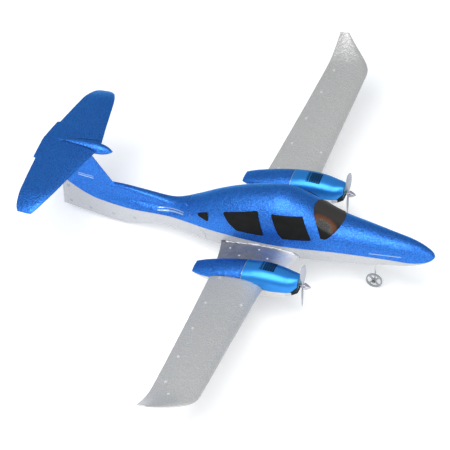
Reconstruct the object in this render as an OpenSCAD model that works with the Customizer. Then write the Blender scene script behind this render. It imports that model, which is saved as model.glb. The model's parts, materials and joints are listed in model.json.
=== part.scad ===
// Twin-engine T-tail model aeroplane, moulded in foam.
// X runs forward to the nose, Y to the left wing tip, Z up from the ground.
// The origin is on the ground, in the middle of the length and the span.

/* [Airframe] */
// Wing span, tip to tip
wing_span = 548; // [500:1:660]
// Length of the nose, from the foot of the windscreen to the tip
nose_length = 94; // [78:1:114]
// Length of the tail, from the body joint to the rudder's edge
tail_length = 134.5; // [112:0.5:162]
// Widest width of the cabin
body_width = 58; // [48:1:70]
// Height of the cabin, from the belly to the roof
body_height = 71; // [62:1:86]
// Thickness of the foam shells
foam_wall = 5; // [4:0.5:6]

/* [Tail] */
// Span of the tailplane
tailplane_span = 190; // [158:1:228]
// Height of the tailplane above the ground
tailplane_z = 87; // [84:1:96]
// Thickness of the tailplane at its root
tailplane_thickness = 6; // [5:0.5:7.5]
// Thickness of the fin at its root
fin_thickness = 7; // [5.5:0.5:8]

/* [Wing] */
// Thickness of the wing at the body
wing_thickness = 11; // [9:0.5:13]
// Diameter of the carbon spars
spar_d = 2.5; // [2:0.1:3]

/* [Engine pods] */
// Distance of each engine from the centre line
pod_y = 67; // [62:1:80]
// Width of a pod
pod_width = 28.6; // [26:0.2:34]
// Height of the thrust line above the ground
thrust_z = 44.8; // [44:0.1:46]
// Wall of the plastic cowl
cowl_wall = 1; // [0.8:0.1:1.4]
// Diameter of the motor can
motor_d = 8.5; // [7:0.1:10]
// Length of the motor can
motor_length = 20; // [16:0.5:24]
// Diameter of the motor shaft
shaft_d = 1; // [0.8:0.1:1.5]
// Diameter of the propellers
propeller_d = 50; // [40:1:60]
// Width of a propeller blade
blade_width = 6; // [4:0.5:7]
// Length of the spinner
spinner_length = 9.2; // [7:0.1:11]
// Diameter of the spinner
spinner_d = 7; // [6:0.1:8.4]

/* [Landing gear] */
// Diameter of the wheels
wheel_d = 15.6; // [13:0.1:18.7]
// Width of the wheels' rims
wheel_width = 1.8; // [1.4:0.1:2.6]
// Diameter of the wire legs
leg_d = 1.2; // [1:0.1:1.6]
// Place of the nose leg along the body
nose_leg_x = 137.5; // [128:0.5:142]
// Place of the main legs along the body
main_leg_x = 4; // [-2:0.5:8]

/* [Equipment] */
// Length of the battery
battery_length = 30; // [25:1:32]
// Width of the battery
battery_width = 16; // [13:1:17]
// Height of the battery
battery_height = 7.5; // [6:0.5:9]
// Length of the battery hatch
hatch_length = 36; // [33:1:40]
// Width of the battery hatch
hatch_width = 20; // [18:1:22]

/* [Hidden] */

blue = "royalblue";
white = "gainsboro";
seam_gap = 0.2;       // along the partings of the engine pods
glue_gap = 0.15;      // between mouldings that are glued together
moving_gap = 0.4;     // round the hatch
bearing_gap = 0.05;   // radial, on pins, axles and shafts
film = 0.35;          // thickness of the window films
joint_x = -40.5;      // where the tail plugs onto the body
glass_foot_x = 98.5;  // foot of the windscreen
nose_x = glass_foot_x + nose_length;
rudder_x = joint_x - tail_length;
nose_z = 55.4;
belly_share = body_height / 71;
width_share = body_width / 58;
half_points = 14;     // steps round half of a body section
wheel_r = wheel_d / 2;

// ---- Smooth curves through a few stations -------------------------------------------------
// A table's first column is the place; column c is read there by a cubic through the rows.
function row_at(t, x, k = 0) = k >= len(t) - 2 || x < t[k + 1][0] ? k : row_at(t, x, k + 1);
function slope_at(t, k, c) =
    let (a = max(k - 1, 0), b = min(k + 1, len(t) - 1)) (t[b][c] - t[a][c]) / (t[b][0] - t[a][0]);
function read(t, x, c) =
    let (k = row_at(t, x), h = t[k + 1][0] - t[k][0], u = (x - t[k][0]) / h)
    (2 * u ^ 3 - 3 * u ^ 2 + 1) * t[k][c] + (u ^ 3 - 2 * u ^ 2 + u) * h * slope_at(t, k, c)
    + (3 * u ^ 2 - 2 * u ^ 3) * t[k + 1][c] + (u ^ 3 - u ^ 2) * h * slope_at(t, k + 1, c);

// A closed skin over rings that have the same number of points.
module skin(rings) {
    n = len(rings[0]);
    last = (len(rings) - 1) * n;
    points = [for (ring = rings) each ring];
    sides = [for (r = [0 : len(rings) - 2], i = [0 : n - 1])
        let (a = r * n + i, b = r * n + (i + 1) % n) each [[a, a + n, b], [b, a + n, b + n]]];
    ends = [[for (i = [0 : n - 1]) i], [for (i = [n - 1 : -1 : 0]) last + i]];
    polyhedron(points, concat(ends, sides), convexity = 6);
}

// One moulded skin: its cuts and joins are worked on the moulding as a whole.
module moulding(shade) {
    color(shade) resize([0, 0, 0]) children();
}

// ---- Body ----------------------------------------------------------------------------------
// Place, half width, top, parting line and bottom of the body's sections, the roundness of the
// lower half, and how far the upper half narrows to a ridge.
function tail_x(f) = joint_x - f * tail_length;
function front_x(f) = glass_foot_x + f * nose_length;
body_table = [
    [tail_x(1), 0.9, 43.8, 42.6, 8.5, 1.3, 0],
    [tail_x(0.94), 2.4, 46, 39, 7.6, 1.3, 0.1],
    [tail_x(0.765), 5.6, 48.5, 31, 5, 1.3, 0.4],
    [tail_x(0.51), 8.6, 50, 29.5, 2.4, 1.3, 1],
    [tail_x(0.39), 10, 49.4, 31, 8.4, 1.5, 1],
    [tail_x(0.275), 11, 48.6, 33.3, 14.2, 1.9, 1],
    [tail_x(0.14), 12.6, 48, 36, 14.6, 2, 0.7],
    [joint_x, 17, 55.7, 38.5, 13.2, 2, 0],
    [-19.5, 22, 68.1, 41, 12.6, 2, 0],
    [-1, 25.5, 77, 43.5, 14.7, 2, 0],
    [18, 28, 84.2, 45.5, 17.9, 2, 0],
    [36.5, 29, 89.8, 47, 20.5, 2, 0],
    [50, 29, 92.4, 48, 21.7, 2, 0],
    [75.5, 26.8, 85.2, 50, 23, 2, 0],
    [glass_foot_x, 23, 75.8, 51, 25.5, 2, 0],
    [front_x(0.37), 17.3, 71.9, 51, 31.8, 2, 0],
    [front_x(0.63), 13.8, 68.8, 50.8, 37.6, 2, 0],
    [front_x(0.87), 11.6, 67.4, 49, 42.2, 2, 0],
    [nose_x, 10.5, 66, 48, 44.2, 2, 0]];
nose_round = 34;      // length over which the nose closes
function closing(x) = sqrt(max(0.0004, 1 - max(0, (x - nose_x + nose_round) / nose_round) ^ 2));
function toward_nose(x, z) = nose_z + (z - nose_z) * closing(x);
function half_width(x) = read(body_table, x, 1) * width_share * closing(x);
function parting(x) = toward_nose(x, read(body_table, x, 3));
function roof(x) =
    parting(x) + (toward_nose(x, read(body_table, x, 2)) - parting(x)) * belly_share;
function belly(x) =
    parting(x) - (parting(x) - toward_nose(x, read(body_table, x, 4))) * (x < joint_x ? 1 : belly_share);

// Points of half a section, from the left side over the top (or under the bottom) to the right.
function arch(x, w, z0, h, power) = [for (i = [0 : half_points])
    let (a = 180 * i / half_points, c = cos(a), s = sin(a))
    [x, sign(c) * w * abs(c) ^ (2 / power), z0 + h * s ^ (2 / power)]];
// Half width of a ridge on a low flare, at a share of the height.
function ridge_width(t) =
    max(t < 0.5 ? sqrt(1 - (2 * t) ^ 2) : 0, 0.5 * max(0, 1 - t ^ 6) ^ (1 / 3));
function upper_arch(x, g) = let (
    w = max(0.1, half_width(x) + g),
    h = max(0.1, roof(x) + g - parting(x)),
    ridge = read(body_table, x, 6))
    [for (p = arch(x, w, parting(x), h, 2.1))
        let (t = min(1, (p[2] - parting(x)) / h))
        [x, p[1] * (1 - ridge) + ridge * sign(p[1]) * w * ridge_width(t), p[2]]];
function lower_arch(x, g) =
    arch(x, max(0.1, half_width(x) + g), parting(x), min(-0.1, belly(x) - g - parting(x)),
        read(body_table, x, 5));
function body_ring(x, g) = concat(upper_arch(x, g),
    [for (i = [half_points - 1 : -1 : 1]) lower_arch(x, g)[i]]);
function spread(a, b, n) = [for (i = [0 : n]) a + (b - a) * i / n];
body_stations = concat(spread(rudder_x, joint_x - 22, 13), spread(joint_x - 14, front_x(0.6), 21),
    [for (i = [1 : 9]) nose_x - nose_round * (1 - sin(10 * i)) * 1.02]);

module upper_form(g = 0) {
    skin([for (x = body_stations) upper_arch(x, g)]);
}
module lower_form(g = 0) {
    skin([for (x = body_stations) [for (i = [half_points : -1 : 0]) lower_arch(x, g)[i]]]);
}
// The room inside the body shells.
module cabin_room() {
    skin([for (x = spread(joint_x + 12, front_x(0.75), 18)) body_ring(x, -foam_wall)]);
}

// The room inside the tail, behind the joint's solid bulkhead.
module tail_room() {
    skin([for (x = spread(joint_x - 0.46 * tail_length, joint_x + 6, 9)) body_ring(x, -foam_wall)]);
}

// The tail joint: a tongue of the keel reaches forward under the body.
joint_z = 52;
joint_dip = 4;
keel_reach = 19;
keel_reach_z = 33.5;
module ahead_of_joint(gap = 0) {
    rotate([90, 0, 0]) linear_extrude(height = 2 * body_width, center = true)
        polygon([[joint_x + gap, joint_z + 3 * body_height], [joint_x + gap - joint_dip, joint_z],
            [joint_x + gap + keel_reach, keel_reach_z], [joint_x + gap + keel_reach, -body_height],
            [2 * nose_x, -body_height], [2 * nose_x, joint_z + 3 * body_height]]);
}

// ---- Wing ----------------------------------------------------------------------------------
// Distance out, front edge, rear edge, their heights, and the thickness.
tip_y = wing_span / 2;
tongue_y = 8;         // where the wing's root tongue ends inside the body
function out_y(f) = pod_y + 15 + f * (tip_y - pod_y - 15);
wing_table = [
    [tongue_y, 76.5, -8.5, 35.5, 28, wing_thickness],
    [24, 72.5, -4.2, 38, 31.5, wing_thickness],
    [45, 67.5, 1, 40, 35.5, wing_thickness],
    [pod_y, 60.5, 3.8, 40.8, 37.6, wing_thickness],
    [out_y(0), 56.3, 5.2, 41.4, 39.4, wing_thickness - 2],
    [out_y(0.15), 55.6, 6.8, 43.5, 41.9, 7.5],
    [out_y(0.4), 55.4, 9.5, 48, 46.8, 6.6],
    [out_y(0.745), 55.5, 12.8, 54.6, 53.6, 5.6],
    [out_y(0.83), 54.6, 13.4, 56.5, 55.5, 5.2],
    [out_y(0.875), 49.6, 13.6, 58.7, 57.9, 4.8],
    [out_y(0.92), 41, 13.8, 62.3, 61.8, 4.2],
    [out_y(0.965), 31.4, 13.9, 67, 66.4, 3.6],
    [tip_y, 24, 13.8, 72, 70.6, 2.4]];
foil_points = 10;
camber = 0.045;
function foil_half(s) =
    1.4845 * sqrt(s) - 0.63 * s - 1.758 * s ^ 2 + 1.4215 * s ^ 3 - 0.43 * s ^ 4;
// Share of the chord from the front edge, and height over the chord for thickness 1.
unit_foil = concat(
    [for (i = [foil_points : -1 : 0]) let (s = (1 - cos(180 * i / foil_points)) / 2) [s, 1]],
    [for (i = [1 : foil_points]) let (s = (1 - cos(180 * i / foil_points)) / 2) [s, -1]]);
function foil_ring(y, le, te, z_le, z_te, t, g, c = camber) = [for (p = unit_foil)
    let (s = p[0], chord = le - te, z = z_le + (z_te - z_le) * s + 4 * c * chord * s * (1 - s))
    [le + g - (chord + 2 * g) * s, y, z + p[1] * (t * foil_half(s) + g)]];
function wing_ring(y, g) = foil_ring(y, read(wing_table, y, 1), read(wing_table, y, 2),
    read(wing_table, y, 3), read(wing_table, y, 4), read(wing_table, y, 5), g);
wing_stations = concat([tongue_y, 24, 34, 45, 56, pod_y, pod_y + 8], spread(out_y(0), out_y(0.745), 7),
    spread(out_y(0.79), tip_y, 7));

module wing_form(g = 0) {
    skin([for (y = wing_stations) wing_ring(y, g)]);
}
// Middle of the wing's thickness at a share of the chord.
function wing_core(y, s) =
    let (le = read(wing_table, y, 1), te = read(wing_table, y, 2), chord = le - te)
    [le - chord * s, y, read(wing_table, y, 3) + (read(wing_table, y, 4) - read(wing_table, y, 3)) * s
        + 4 * camber * chord * s * (1 - s)];

// A round bar between two points.
module bar(p, q, d) {
    v = q - p;
    translate(p) rotate([0, acos(v[2] / norm(v)), atan2(v[1], v[0])])
        cylinder(h = norm(v), d = d, $fn = 32);
}

// ---- Engine pods ---------------------------------------------------------------------------
// Place, half width, top, parting line and bottom.
pod_rear_x = -14;
cowl_x = 34.5;        // seam between the foam pod and the plastic cowl
pod_front_x = 86.5;
chin_x = 77;          // rear of the black chin intake
pod_share = pod_width / 28.6;
pod_table = [
    [pod_rear_x, 7.4, 37.8, 35.6, 33.8],
    [-9.5, 9.4, 40, 35.8, 31],
    [5.5, 11.9, 45.3, 38.3, 27.3],
    [20.5, 13.2, 50.2, 40.4, 26],
    [cowl_x, 14, 53.9, 41.4, 25.5],
    [48.5, 14.3, 56.6, 41.6, 25.8],
    [62.5, 14, 57.2, 41.8, 28.2],
    [74.5, 12.4, 56, 42.4, 31.6],
    [80.5, 10.8, 54.8, 42.9, 34.5],
    [83, 9.9, 55.9, 43.1, 35.9],
    [pod_front_x, 8, 55, 43.4, 38.6]];
function pod_arch(x, g, up) = let (
    w = read(pod_table, x, 1) * pod_share + g,
    z0 = read(pod_table, x, 3) - (up ? 0 : seam_gap),
    h = up ? read(pod_table, x, 2) + g - z0 : read(pod_table, x, 4) - g - z0)
    [for (p = arch(x, w, z0, h, up ? 2.3 : 2.2)) [p[0], p[1] + pod_y, p[2]]];
function back_to_front(list) = [for (i = [len(list) - 1 : -1 : 0]) list[i]];
module pod_upper(from, to, n, g = 0) {
    skin([for (x = spread(from, to, n)) pod_arch(x, g, true)]);
}
module pod_lower(from, to, n, g = 0) {
    skin([for (x = spread(from, to, n)) back_to_front(pod_arch(x, g, false))]);
}

module on_side(side) {
    if (side > 0) children();
    else mirror([0, 1, 0]) children();
}
// The spar's line runs from the root tongue to spar_end_y; y picks a place on it.
spar_end_y = 128;
function spar_point(y) = let (a = wing_core(tongue_y, 0.34), b = wing_core(spar_end_y, 0.34))
    a + (b - a) * (y - tongue_y) / (spar_end_y - tongue_y);
module spar_bar(d, from, to) {
    bar(spar_point(from), spar_point(to), d);
}
module thrust_line(x) {
    translate([x, pod_y, thrust_z]) rotate([0, 90, 0]) children();
}
motor_x = 80 - motor_length;
mount_length = 11;
mount_width = 13;
mount_foot_z = 35.5;
module mount_block(g = 0) {
    translate([motor_x + 3 - g, pod_y - mount_width / 2 - g, mount_foot_z - g])
        cube([mount_length + 2 * g, mount_width + 2 * g, thrust_z - mount_foot_z + g]);
}
module wing(side) {
    moulding(white) on_side(side) difference() {
        union() {
            wing_form();
            pod_lower(pod_rear_x, chin_x, 13);
        }
        mount_block(glue_gap);
        thrust_line(motor_x - 2) cylinder(h = motor_length + 6, d = motor_d + 1, $fn = 24);
        spar_bar(spar_d + 0.3, tongue_y - 3, spar_end_y + 1);
        main_leg_socket(glue_gap);
    }
}
module wing_left() { wing(1); }
module wing_right() { wing(-1); }

module pod(side) {
    moulding(blue) on_side(side) difference() {
        pod_upper(pod_rear_x, cowl_x - 0.3, 9);
        wing_form(glue_gap);
    }
}
module pod_left() { pod(1); }
module pod_right() { pod(-1); }

module cowl(side) {
    moulding(blue) on_side(side) difference() {
        pod_upper(cowl_x, pod_front_x, 12);
        for (drop = [0, 1]) translate([0, 0, -drop])
            pod_upper(cowl_x - 1, pod_front_x - cowl_wall, 12, -cowl_wall);
        wing_form(glue_gap);
        thrust_line(pod_front_x - 3) cylinder(h = 6, d = shaft_d + 2.4, $fn = 24);
    }
}
module cowl_left() { cowl(1); }
module cowl_right() { cowl(-1); }

module intake(side) {
    moulding("#16181c") on_side(side) difference() {
        pod_lower(chin_x + 0.2, pod_front_x, 4);
        thrust_line(chin_x - 1) cylinder(h = 12, d = motor_d + 1, $fn = 24);
    }
}
module intake_left() { intake(1); }
module intake_right() { intake(-1); }

// Louvred vent on the top of the cowl: a thin plate with raised slats.
vent_x = 49;
vent_length = 14;
vent_width = 12.5;
vent_out = -2;        // middle of the vent, outboard of the pod's centre is positive
module vent_area() {
    translate([vent_x, pod_y + vent_out - vent_width / 2, thrust_z]) cube([vent_length, vent_width, 20]);
}
module vent_slats() {
    for (i = [0 : 5])
        translate([vent_x + 0.4 + i * vent_length / 6, pod_y + vent_out - vent_width / 2 + 0.8, thrust_z])
            cube([vent_length / 6 - 0.9, vent_width - 1.6, 20]);
}
module vent(side) {
    moulding("midnightblue") on_side(side) difference() {
        union() {
            intersection() {
                pod_upper(cowl_x, pod_front_x, 12, 0.3);
                vent_area();
            }
            intersection() {
                pod_upper(cowl_x, pod_front_x, 12, 0.7);
                vent_slats();
            }
        }
        pod_upper(cowl_x, pod_front_x, 12, 0.05);
    }
}
module vent_left() { vent(1); }
module vent_right() { vent(-1); }

module wing_spars() {
    color("#222222") for (side = [-1, 1]) on_side(side) spar_bar(spar_d, 1.5, spar_end_y);
}
joiner = [10, 2 * tongue_y - 0.6, 8];
module spar_joiner() {
    core = wing_core(tongue_y, 0.34);
    color("dimgray") difference() {
        translate([core[0] - joiner[0] / 2, -joiner[1] / 2, core[2] - joiner[2] / 2]) cube(joiner);
        for (side = [-1, 1]) on_side(side)
            spar_bar(spar_d + 2 * bearing_gap, 1.2, tongue_y + 3);
    }
}

// ---- Motors and propellers -----------------------------------------------------------------
module motor(side) {
    color("silver") on_side(side) difference() {
        union() {
            thrust_line(motor_x) cylinder(h = motor_length - 1, d = motor_d, $fn = 48);
            thrust_line(motor_x + motor_length - 1) cylinder(h = 1, d = motor_d - 2, $fn = 48);
        }
        thrust_line(motor_x + motor_length / 2)
            cylinder(h = motor_length, d = shaft_d + 2 * bearing_gap, $fn = 24);
    }
}
module motor_left() { motor(1); }
module motor_right() { motor(-1); }

module motor_mount(side) {
    color("#30343a") on_side(side) difference() {
        mount_block();
        thrust_line(motor_x) cylinder(h = motor_length, d = motor_d + 2 * bearing_gap, $fn = 48);
    }
}
module motor_mount_left() { motor_mount(1); }
module motor_mount_right() { motor_mount(-1); }

shaft_front_x = 91;
module motor_shaft(side) {
    start = motor_x + motor_length / 2 + 0.5;
    color("lightgray") on_side(side) thrust_line(start)
        cylinder(h = shaft_front_x - start, d = shaft_d, $fn = 24);
}
module motor_shaft_left() { motor_shaft(1); }
module motor_shaft_right() { motor_shaft(-1); }

blade_x = 89.6;
hub_length = 2.4;
blade_thickness = 0.9;
blade_pitch = 28;
module propeller(side) {
    color("gainsboro") on_side(side) difference() {
        union() {
            thrust_line(blade_x - hub_length / 2) cylinder(h = hub_length, d = 4, $fn = 32);
            for (turn = [0, 180]) translate([blade_x, pod_y, thrust_z]) rotate([turn, 0, 0])
                rotate([0, 0, 90 - blade_pitch]) translate([0, 0, 1])
                    rotate([90, 0, 0]) linear_extrude(height = blade_thickness, center = true)
                        polygon([[-0.9, 0], [0.9, 0], [0.5 * blade_width, 0.32 * propeller_d],
                            [0.42 * blade_width, 0.45 * propeller_d],
                            [0.12 * blade_width, 0.5 * propeller_d - 1],
                            [-0.3 * blade_width, 0.48 * propeller_d],
                            [-0.5 * blade_width, 0.3 * propeller_d]]);
        }
        thrust_line(blade_x - hub_length) cylinder(h = 2 * hub_length, d = shaft_d, $fn = 24);
    }
}
module propeller_left() { propeller(1); }
module propeller_right() { propeller(-1); }

spinner_x = blade_x + hub_length / 2;
module spinner(side) {
    tip = spinner_length - hub_length - 0.2;
    color("whitesmoke") on_side(side) difference() {
        thrust_line(spinner_x) rotate_extrude($fn = 48)
            polygon([[0, 0], [spinner_d / 2, 0], [0.86 * spinner_d / 2, 0.28 * tip],
                [0.6 * spinner_d / 2, 0.58 * tip], [0.28 * spinner_d / 2, 0.85 * tip], [0, tip]]);
        thrust_line(spinner_x - 1) cylinder(h = shaft_front_x - spinner_x + 1, d = shaft_d, $fn = 24);
    }
}
module spinner_left() { spinner(1); }
module spinner_right() { spinner(-1); }

// ---- Body mouldings ------------------------------------------------------------------------
module fuselage_upper() {
    moulding(blue) difference() {
        intersection() {
            upper_form();
            ahead_of_joint();
        }
        cabin_room();
        tray_form(glue_gap);
    }
}

hatch_x = 85;         // rear edge of the hatch
hatch_middle_x = hatch_x + hatch_length / 2;
module hatch_prism(gap) {
    translate([hatch_x + gap, -hatch_width / 2 + gap, 0])
        cube([hatch_length - 2 * gap, hatch_width - 2 * gap, parting(hatch_x) - 12]);
}
module fuselage_lower() {
    moulding(white) difference() {
        intersection() {
            lower_form();
            ahead_of_joint();
        }
        cabin_room();
        tray_form(glue_gap);
        for (side = [-1, 1]) on_side(side) wing_form(glue_gap);
        hatch_prism(0);
        hinge_plates(glue_gap);
        nose_leg_socket_form(glue_gap);
        switch_form(glue_gap, 4);
    }
}
module battery_hatch() {
    moulding(white) difference() {
        intersection() {
            lower_form();
            hatch_prism(moving_gap);
        }
        cabin_room();
        hinge_plates(glue_gap);
    }
}
module tail_boom() {
    moulding(blue) difference() {
        union() {
            difference() {
                upper_form();
                ahead_of_joint(-glue_gap);
            }
            fin_form();
        }
        for (lift = [0, 3.5]) translate([0, 0, lift])
            tailplane_form(glue_gap);
        tail_room();
    }
}
module tail_keel() {
    moulding(white) difference() {
        lower_form();
        ahead_of_joint(-glue_gap);
        tail_room();
    }
}

// ---- Tail ----------------------------------------------------------------------------------
fin_foot_z = 44;
fin_sweep = 0.76;     // the front edge leans back this much for each millimetre of height
fin_kink_x = tail_x(0.62);
fin_kink_z = 52;
module fin_form() {
    skin([for (z = spread(fin_foot_z, tailplane_z + 0.5, 8))
        let (le = fin_kink_x - fin_sweep * (z - fin_kink_z), te = rudder_x - 0.07 * (z - fin_foot_z),
            t = fin_thickness * (1 - 0.006 * (z - fin_foot_z)))
        [for (p = back_to_front(foil_ring(0, le, te, 0, 0, t, 0, 0))) [p[0], p[2], z]]]);
}

tailplane_x = tail_x(0.691);
half_tail = tailplane_span / 2;
tail_step_y = 28;
step_depth = 2.4;
// Distance out, front edge, rear edge, their heights over the root, and the thickness.
tailplane_table = [
    [0, tailplane_x, tailplane_x - 59, 1.5, -3.5, tailplane_thickness],
    [tail_step_y, tailplane_x - 6.4, tailplane_x - 56.4, 1, -4, tailplane_thickness - 0.8],
    [0.76 * half_tail, tailplane_x - 16.4, tailplane_x - 51.6, -2, -5.6, tailplane_thickness - 2],
    [0.82 * half_tail, tailplane_x - 18.4, tailplane_x - 50.7, -3, -6.4, tailplane_thickness - 2.3],
    [0.9 * half_tail, tailplane_x - 21.6, tailplane_x - 49, -5.2, -8.2, tailplane_thickness - 2.8],
    [0.965 * half_tail, tailplane_x - 25.4, tailplane_x - 47, -8.4, -10, tailplane_thickness - 3.4],
    [half_tail, tailplane_x - 28.4, tailplane_x - 44.4, -10.6, -11.2, tailplane_thickness - 4.4]];
half_tail_stations = [0, 6, 14, 21, tail_step_y - 0.4, tail_step_y + 0.4, 0.4 * half_tail, 0.5 * half_tail,
    0.62 * half_tail, 0.72 * half_tail, 0.78 * half_tail, 0.84 * half_tail, 0.9 * half_tail,
    0.94 * half_tail, 0.97 * half_tail, 0.99 * half_tail, half_tail];
function tailplane_ring(y, g) = let (d = abs(y))
    foil_ring(y, read(tailplane_table, d, 1),
        read(tailplane_table, d, 2) - (d < tail_step_y ? 0 : -step_depth),
        tailplane_z + read(tailplane_table, d, 3), tailplane_z + read(tailplane_table, d, 4),
        read(tailplane_table, d, 5), g, 0.008);
bullet_x = tail_x(0.6);
bullet_table = [[0, 0.4], [3, 2.6], [9, 4.9], [18, 5.9], [30, 5.2], [44, 3.2], [56, 0.6]];
module bullet_form(g) {
    translate([0, 0, tailplane_z])
        skin([for (d = concat([0, 1.2, 3, 6], spread(9, 56, 8)))
            [for (i = [0 : 19]) let (a = 18 * i, r = read(bullet_table, d, 1) + g)
                [bullet_x - d, -r * cos(a), r * sin(a)]]]);
}
module tailplane_form(g = 0) {
    skin([for (y = concat([for (i = [len(half_tail_stations) - 1 : -1 : 1]) -half_tail_stations[i]],
        half_tail_stations)) tailplane_ring(y, g)]);
    bullet_form(g);
}
module tailplane() {
    moulding(blue) union() tailplane_form();
}

// ---- Windows -------------------------------------------------------------------------------
module window_film() {
    moulding("#15171a") intersection() {
        difference() {
            upper_form(film + 0.05);
            upper_form(0.05);
        }
        children();
    }
}
module side_panes() {
    rotate([90, 0, 0]) linear_extrude(height = body_width)
        offset(r = 1.2, $fn = 24) offset(delta = -1.2) {
            polygon([[-33, 51.6], [-20.4, 57.8], [-18.2, 49.6]]);
            polygon([[-4.8, 64.4], [29.4, 76.8], [38.2, 56.2], [11.5, 53], [2.8, 57.6]]);
            polygon([[42.6, 78.4], [71.2, 80], [83, 60.8], [56.4, 57.8], [51.4, 62.2]]);
        }
}
module side_windows_left() { window_film() mirror([0, 1, 0]) side_panes(); }
module side_windows_right() { window_film() side_panes(); }
glass_half = 22;
glass_corner_x = glass_foot_x - 8;
module windscreen() {
    window_film() linear_extrude(height = 3 * body_height) polygon(concat(
        [for (y = spread(glass_half, -glass_half, 16))
            [glass_corner_x - 12.6 * (1 - abs(y / glass_half) ^ 2.3), y]],
        [for (a = [-80 : 10 : 80]) [glass_corner_x + 16 * cos(a), glass_half * sin(a)]]));
}

// ---- Equipment -----------------------------------------------------------------------------
tray_z = 46;
tray_thickness = 1.4;
tray_rear_x = 10;
tray_front_x = 122;
tray_seat = 1.2;      // how far the tray's edge reaches into the foam
function tray_half(x) = half_width(x) - foam_wall - 1 + tray_seat;
module tray_form(g = 0) {
    side_xs = spread(tray_rear_x - g, tray_front_x + g, 8);
    translate([0, 0, tray_z - g]) linear_extrude(height = tray_thickness + 2 * g)
        polygon(concat([for (x = side_xs) [x, tray_half(x) + g]],
            [for (i = [len(side_xs) - 1 : -1 : 0]) [side_xs[i], -tray_half(side_xs[i]) - g]]));
}
module equipment_tray() {
    color("burlywood") tray_form();
}
module battery() {
    color("silver") translate([hatch_middle_x - battery_length / 2, -battery_width / 2,
        tray_z - battery_height]) cube([battery_length, battery_width, battery_height]);
}
board = [26, 18, 1.2];
board_x = 32;
module receiver_board() {
    color("seagreen") translate([board_x, -board[1] / 2, tray_z + tray_thickness]) {
        cube(board);
        translate([4, 4, board[2]]) cube([7, 7, 1.2]);
        translate([14, 3, board[2]]) cube([5, 5, 2]);
        translate([14, 11, board[2]]) cube([8, 4, 3]);
        translate([22, 4, board[2]]) cube([2.4, 3.6, 1.6]);
    }
}
switch_x = 8;
switch_body = [9, 4.4, 4];
knob_travel = 2;
switch_z = belly(switch_x) + 0.6;
module switch_form(g = 0, depth = 0) {
    translate([switch_x - switch_body[0] / 2 - g, -switch_body[1] / 2 - g, switch_z - depth])
        cube([switch_body[0] + 2 * g, switch_body[1] + 2 * g, switch_body[2] + depth + 2 * g]);
}
knob = [2.2, 1.8, 3.2];
module power_switch() {
    color("#202326") difference() {
        switch_form();
        translate([switch_x - knob[0] / 2 - 0.2, -knob[1] / 2 - 0.1, switch_z - 1])
            cube([knob[0] + knob_travel + 0.4, knob[1] + 0.2, 3.2]);
    }
}
module switch_knob() {
    color("white") translate([switch_x - knob[0] / 2, -knob[1] / 2, switch_z + 2.1 - knob[2]])
        cube(knob);
}

// Hatch hinge: plates let into the foam, knuckles on a pin across the hatch's front edge.
hinge_x = hatch_x + hatch_length;
hinge_pin_d = 1;
knuckle_d = 2.2;
knuckle_width = 4;
belly_angle = atan((belly(hinge_x + 6) - belly(hinge_x - 6)) / 12);
hinge_z = belly(hinge_x) - knuckle_d / 2 + 0.9;
module at_hinge() {
    translate([hinge_x, 0, hinge_z]) rotate([0, -belly_angle, 0]) children();
}
module hinge_plate(dir, g = 0) {
    at_hinge() translate([dir > 0 ? 0 : -8 - g, -3 * knuckle_width / 2 - g, -g])
        cube([8 + g, 3 * knuckle_width + 2 * g, 1.1 + 2 * g]);
}
module hinge_plates(g) {
    hinge_plate(1, g);
    hinge_plate(-1, g);
    at_hinge() rotate([90, 0, 0])
        cylinder(h = 3 * knuckle_width + 2 * g, d = knuckle_d + 2 * moving_gap, center = true, $fn = 24);
}
module knuckle(y, w) {
    at_hinge() translate([0, y, 0]) rotate([90, 0, 0])
        cylinder(h = w, d = knuckle_d, center = true, $fn = 48);
}
module pin_hole(d) {
    at_hinge() rotate([90, 0, 0]) cylinder(h = 4 * knuckle_width, d = d, center = true, $fn = 48);
}
module hatch_hinge() {
    color("#e8e8ea") difference() {
        union() {
            difference() {
                hinge_plate(1);
                at_hinge() translate([-1, -knuckle_width / 2 - 0.15, -2])
                    cube([2.6, knuckle_width + 0.3, 6]);
                at_hinge() translate([-1, -2 * knuckle_width, -2]) cube([1.2, 4 * knuckle_width, 6]);
            }
            for (s = [-1, 1]) knuckle(s * (knuckle_width + 0.1), knuckle_width - 0.2);
        }
        pin_hole(hinge_pin_d);
    }
}
module hatch_leaf() {
    color("#e8e8ea") difference() {
        union() {
            difference() {
                hinge_plate(-1);
                for (s = [-1, 1])
                    at_hinge() translate([-1.6, s * (knuckle_width + 1) - knuckle_width / 2 - 1.15, -2])
                        cube([2.6, knuckle_width + 2.3, 6]);
            }
            knuckle(0, knuckle_width - 0.3);
        }
        pin_hole(hinge_pin_d + 2 * bearing_gap);
    }
}
module hatch_pin() {
    color("silver") at_hinge() rotate([90, 0, 0])
        cylinder(h = 3 * knuckle_width - 0.4, d = hinge_pin_d, center = true, $fn = 48);
}

// ---- Landing gear --------------------------------------------------------------------------
socket_d = 6;
leg_side = 2.6;       // the wire stands this far to the side of its wheel
axle_length = 5.4;
module nose_leg_socket_form(g = 0) {
    translate([nose_leg_x, leg_side, belly(nose_leg_x) - 1.2 - g])
        cylinder(h = 9 + 2 * g, d = socket_d + 2 * g, $fn = 48);
}
module nose_leg_socket() {
    color("whitesmoke") difference() {
        nose_leg_socket_form();
        translate([nose_leg_x, leg_side, belly(nose_leg_x) - 3]) cylinder(h = 9, d = leg_d, $fn = 48);
    }
}
module wire_leg(top_z) {
    color("silver") {
        translate([0, leg_side, wheel_r - leg_d / 2]) cylinder(h = top_z - wheel_r + leg_d / 2, d = leg_d, $fn = 32);
        translate([0, leg_side, wheel_r]) rotate([90, 0, 0])
            cylinder(h = axle_length, d = leg_d, $fn = 32);
    }
}
module nose_leg() {
    translate([nose_leg_x, 0, 0]) wire_leg(belly(nose_leg_x) + 6);
}
rim = 1.3;
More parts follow.
